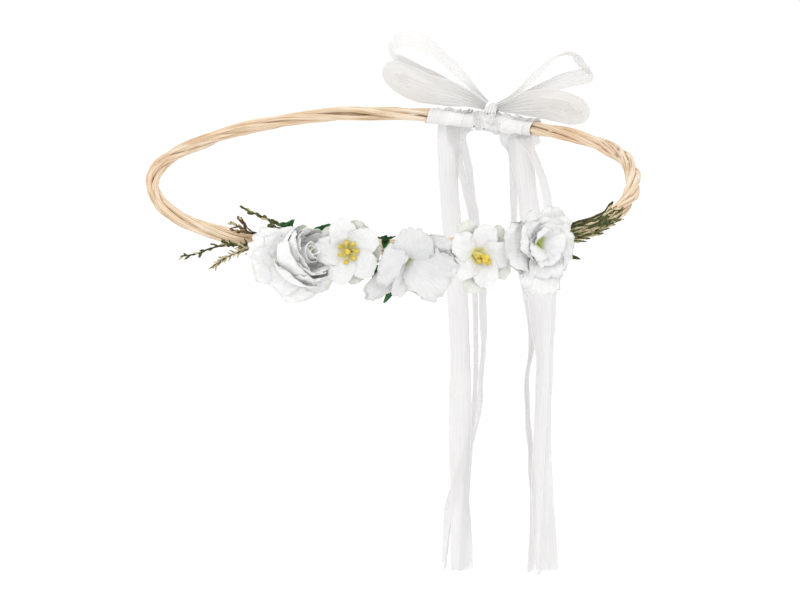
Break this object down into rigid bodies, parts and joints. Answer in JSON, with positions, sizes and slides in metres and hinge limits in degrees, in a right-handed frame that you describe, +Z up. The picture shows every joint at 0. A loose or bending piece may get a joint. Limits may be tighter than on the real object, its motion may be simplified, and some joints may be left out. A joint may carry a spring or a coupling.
{
  "type": "flower crown",
  "caption": "Twisted cane hoop for the head, with paper flowers, leaves and dried sprigs along the front and a ribbon bow with hanging tails at the back.",
  "frame": {"origin": "centre of the head opening, in the plane of the hoop's centreline", "axes": "+Z up out of the top of the head, +Y towards the back of the head where the bow is, -Y towards the flowers at the front, +X to the right of a person facing the flowers"},
  "size_m": [0.183, 0.2185, 0.2392],
  "materials": {
    "rattan": "satin",
    "ribbon": "satin",
    "petal_paper": "matte",
    "stem_tape": "matte",
    "stamen": "matte",
    "leaf": "matte",
    "green_sprig": "matte",
    "grey_sprig": "matte",
    "brown_sprig": "matte"
  },
  "bodies": {
    "root": {"cane_1": "rattan", "cane_2": "rattan", "cane_3": "rattan", "cane_4": "rattan", "left_binding": "ribbon", "right_binding": "ribbon", "knot_wrap": "ribbon", "bow_knot": "ribbon", "upper_left_loop": "ribbon", "lower_left_loop": "ribbon", "upper_right_loop": "ribbon", "lower_right_loop": "ribbon", "rose_outer_petals": "petal_paper", "rose_middle_petals": "petal_paper", "rose_inner_petals": "petal_paper", "rose_core": "petal_paper", "rose_base": "stem_tape", "rose_stem": "stem_tape", "left_blossom_petals": "petal_paper", "left_blossom_back_petals": "petal_paper", "left_blossom_stamens": "stamen", "left_blossom_base": "stem_tape", "left_blossom_stem": "stem_tape", "lily_outer_petals": "petal_paper", "lily_inner_petals": "petal_paper", "lily_base": "stem_tape", "lily_stem": "stem_tape", "right_blossom_petals": "petal_paper", "right_blossom_back_petals": "petal_paper", "right_blossom_stamens": "stamen", "right_blossom_base": "stem_tape", "right_blossom_stem": "stem_tape", "peony_outer_petals": "petal_paper", "peony_middle_petals": "petal_paper", "peony_inner_petals": "petal_paper", "peony_base": "stem_tape", "peony_stem": "stem_tape", "upper_left_sprig": "green_sprig", "lower_left_sprig": "green_sprig", "grey_sprig": "grey_sprig", "brown_sprig": "brown_sprig", "right_sprig": "green_sprig", "right_twig": "brown_sprig", "left_leaf": "leaf", "middle_bud": "leaf", "middle_leaf": "leaf", "bottom_leaf": "leaf", "right_leaf": "leaf"},
    "left_tails": {"left_wide_tail": "ribbon", "left_inner_tail": "ribbon", "left_outer_tail": "ribbon"},
    "right_tails": {"right_wide_tail": "ribbon", "right_inner_tail": "ribbon", "right_outer_tail": "ribbon"}
  },
  "joints": [
    {"name": "left_tails_swing", "type": "hinge", "parent": "root", "child": "left_tails", "pos_m": [0.027, 0.0925, -0.005], "axis": [1, 0, 0], "range_deg": [-20, 75]},
    {"name": "right_tails_swing", "type": "hinge", "parent": "root", "child": "right_tails", "pos_m": [0.056, 0.0797, -0.005], "axis": [1, 0, 0], "range_deg": [-20, 75]}
  ]
}
